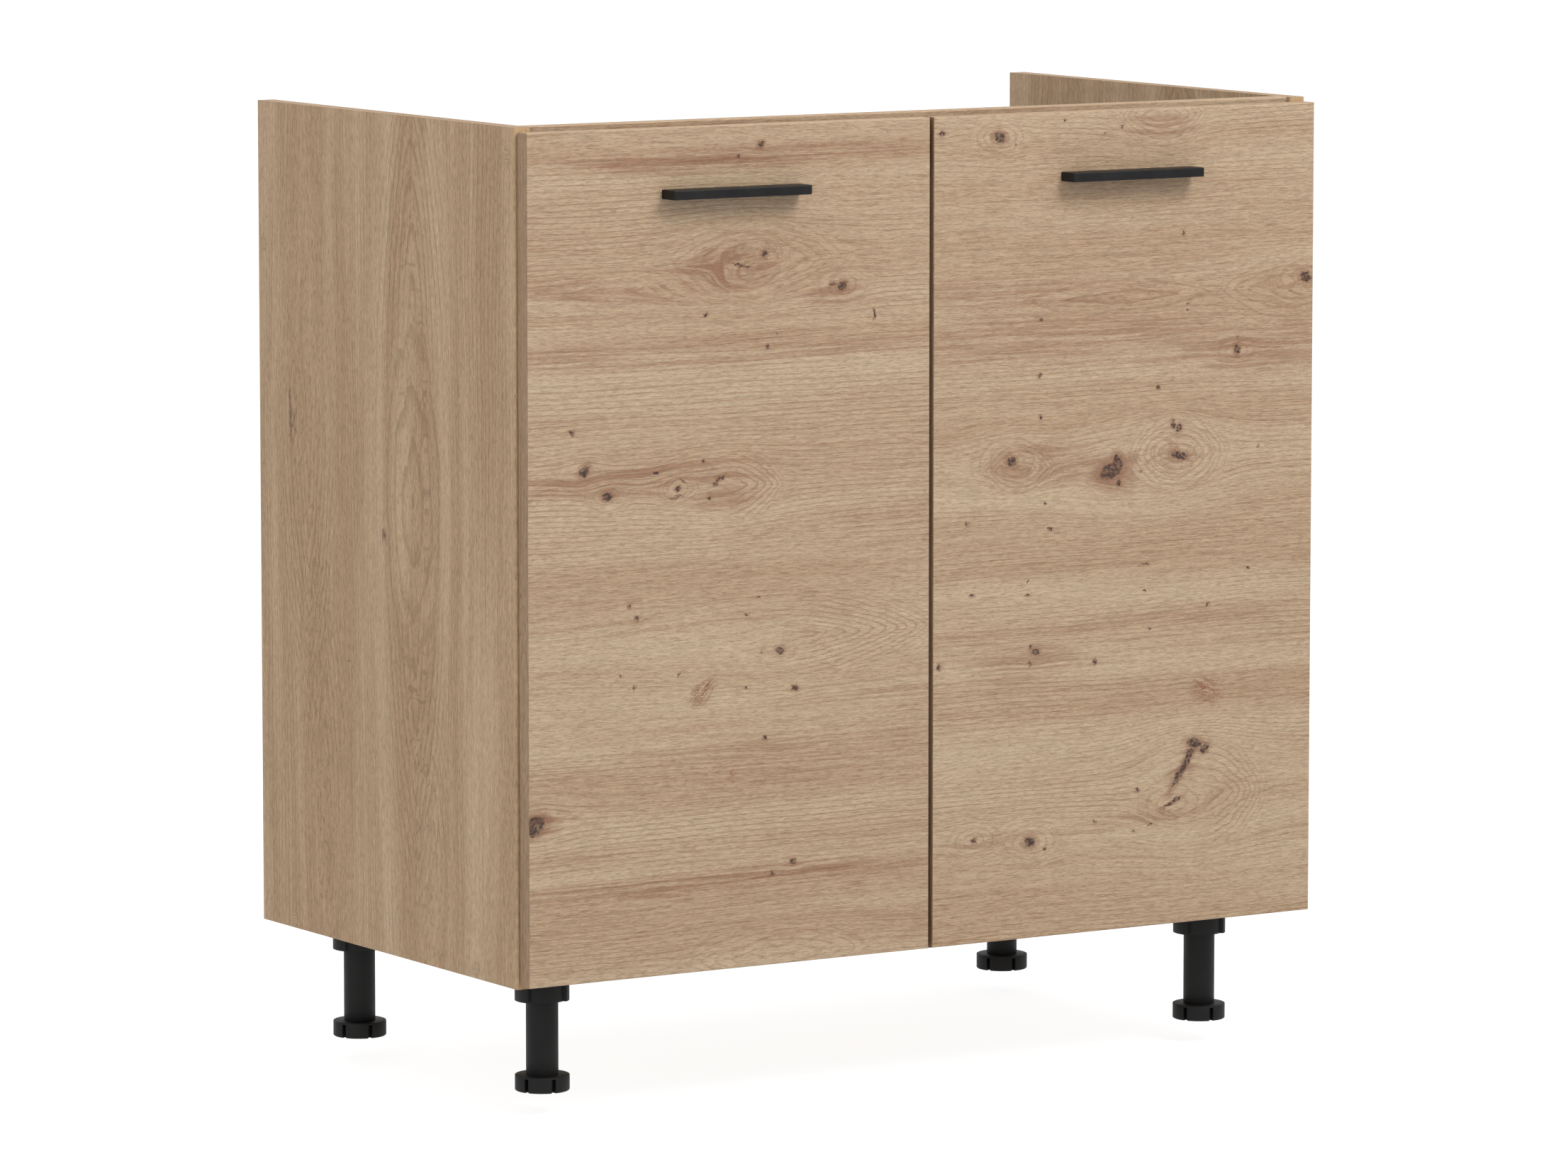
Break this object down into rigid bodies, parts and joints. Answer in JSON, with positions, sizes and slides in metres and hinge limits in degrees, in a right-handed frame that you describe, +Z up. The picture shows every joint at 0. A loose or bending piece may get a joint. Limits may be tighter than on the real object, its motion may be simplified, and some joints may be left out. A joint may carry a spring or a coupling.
{
  "type": "sink base cabinet",
  "caption": "Oak-print sink base cabinet with open top and back, full overlay doors on concealed cup hinges, black bar handles and height-adjustable legs.",
  "frame": {"origin": "on the floor, in the middle of the outline box", "axes": "+Z up, doors and handles face -Y, +X to the right as seen from the front"},
  "size_m": [0.8008, 0.48, 0.82],
  "materials": {
    "oak_upright": "oak print on particle board, matt, upright grain",
    "oak_level": "rustic oak print on particle board, matt, level grain",
    "black_plastic": "black, moulded",
    "black_metal": "black, powder coated",
    "nickel": "nickel plated",
    "zinc_steel": "zinc plated"
  },
  "bodies": {
    "carcass": {"left_side": "oak_upright", "right_side": "oak_upright", "bottom_panel": "oak_level", "front_rail": "oak_level", "rear_rail": "oak_level", "left_front_rail_screw": "zinc_steel", "left_front_rail_cap": "oak_upright", "left_rear_rail_screw": "zinc_steel", "left_rear_rail_cap": "oak_upright", "left_bottom_front_screw": "zinc_steel", "left_bottom_front_cap": "oak_upright", "left_bottom_rear_screw": "zinc_steel", "left_bottom_rear_cap": "oak_upright", "right_front_rail_screw": "zinc_steel", "right_front_rail_cap": "oak_upright", "right_rear_rail_screw": "zinc_steel", "right_rear_rail_cap": "oak_upright", "right_bottom_front_screw": "zinc_steel", "right_bottom_front_cap": "oak_upright", "right_bottom_rear_screw": "zinc_steel", "right_bottom_rear_cap": "oak_upright", "front_left_leg_socket": "black_plastic", "front_left_leg_stem": "black_plastic", "front_right_leg_socket": "black_plastic", "front_right_leg_stem": "black_plastic", "rear_left_leg_socket": "black_plastic", "rear_left_leg_stem": "black_plastic", "rear_right_leg_socket": "black_plastic", "rear_right_leg_stem": "black_plastic", "left_lower_hinge_plate": "nickel", "left_lower_hinge_arm": "nickel", "left_upper_hinge_plate": "nickel", "left_upper_hinge_arm": "nickel", "right_lower_hinge_plate": "nickel", "right_lower_hinge_arm": "nickel", "right_upper_hinge_plate": "nickel", "right_upper_hinge_arm": "nickel"},
    "left_door_leaf": {"left_door": "oak_level", "left_handle": "black_metal", "left_lower_hinge_cup": "nickel", "left_upper_hinge_cup": "nickel"},
    "left_outer_links": {"left_lower_hinge_outer_link": "nickel", "left_upper_hinge_outer_link": "nickel"},
    "left_inner_links": {"left_lower_hinge_inner_link": "nickel", "left_upper_hinge_inner_link": "nickel"},
    "right_door_leaf": {"right_door": "oak_level", "right_handle": "black_metal", "right_lower_hinge_cup": "nickel", "right_upper_hinge_cup": "nickel"},
    "right_outer_links": {"right_lower_hinge_outer_link": "nickel", "right_upper_hinge_outer_link": "nickel"},
    "right_inner_links": {"right_lower_hinge_inner_link": "nickel", "right_upper_hinge_inner_link": "nickel"},
    "front_left_leg_foot_screw": {"front_left_leg_foot": "black_plastic"},
    "front_right_leg_foot_screw": {"front_right_leg_foot": "black_plastic"},
    "rear_left_leg_foot_screw": {"rear_left_leg_foot": "black_plastic"},
    "rear_right_leg_foot_screw": {"rear_right_leg_foot": "black_plastic"}
  },
  "joints": [
    {"name": "left_outer_links_on_arms", "type": "hinge", "parent": "carcass", "child": "left_outer_links", "pos_m": [-0.367, -0.1947, 0.4595], "axis": [0, 0, -1], "range_deg": [-31.51, 0]},
    {"name": "left_door_swing", "type": "hinge", "parent": "left_outer_links", "child": "left_door_leaf", "pos_m": [-0.3879, -0.2058, 0.4595], "axis": [0, 0, -1], "range_deg": [0, 123.5]},
    {"name": "left_inner_links_on_arms", "type": "hinge", "parent": "carcass", "child": "left_inner_links", "pos_m": [-0.3655, -0.2117, 0.4595], "axis": [0, 0, -1], "range_deg": [-48.21, 0]},
    {"name": "right_outer_links_on_arms", "type": "hinge", "parent": "carcass", "child": "right_outer_links", "pos_m": [0.367, -0.1947, 0.4595], "axis": [0, 0, 1], "range_deg": [-31.51, 0]},
    {"name": "right_door_swing", "type": "hinge", "parent": "right_outer_links", "child": "right_door_leaf", "pos_m": [0.3879, -0.2058, 0.4595], "axis": [0, 0, 1], "range_deg": [0, 123.5]},
    {"name": "right_inner_links_on_arms", "type": "hinge", "parent": "carcass", "child": "right_inner_links", "pos_m": [0.3655, -0.2117, 0.4595], "axis": [0, 0, 1], "range_deg": [-48.21, 0]},
    {"name": "front_left_leg_height_screw", "type": "slide", "parent": "carcass", "child": "front_left_leg_foot_screw", "axis": [0, 0, -1], "range_m": [0, 0.02]},
    {"name": "front_right_leg_height_screw", "type": "slide", "parent": "carcass", "child": "front_right_leg_foot_screw", "axis": [0, 0, -1], "range_m": [0, 0.02]},
    {"name": "rear_left_leg_height_screw", "type": "slide", "parent": "carcass", "child": "rear_left_leg_foot_screw", "axis": [0, 0, -1], "range_m": [0, 0.02]},
    {"name": "rear_right_leg_height_screw", "type": "slide", "parent": "carcass", "child": "rear_right_leg_foot_screw", "axis": [0, 0, -1], "range_m": [0, 0.02]}
  ],
  "couplings": [
    {"joint": "left_outer_links_on_arms", "follows": "left_door_swing", "ratio": -0.25506},
    {"joint": "left_inner_links_on_arms", "follows": "left_door_swing", "ratio": -0.39028},
    {"joint": "right_outer_links_on_arms", "follows": "right_door_swing", "ratio": -0.25506},
    {"joint": "right_inner_links_on_arms", "follows": "right_door_swing", "ratio": -0.39028}
  ]
}
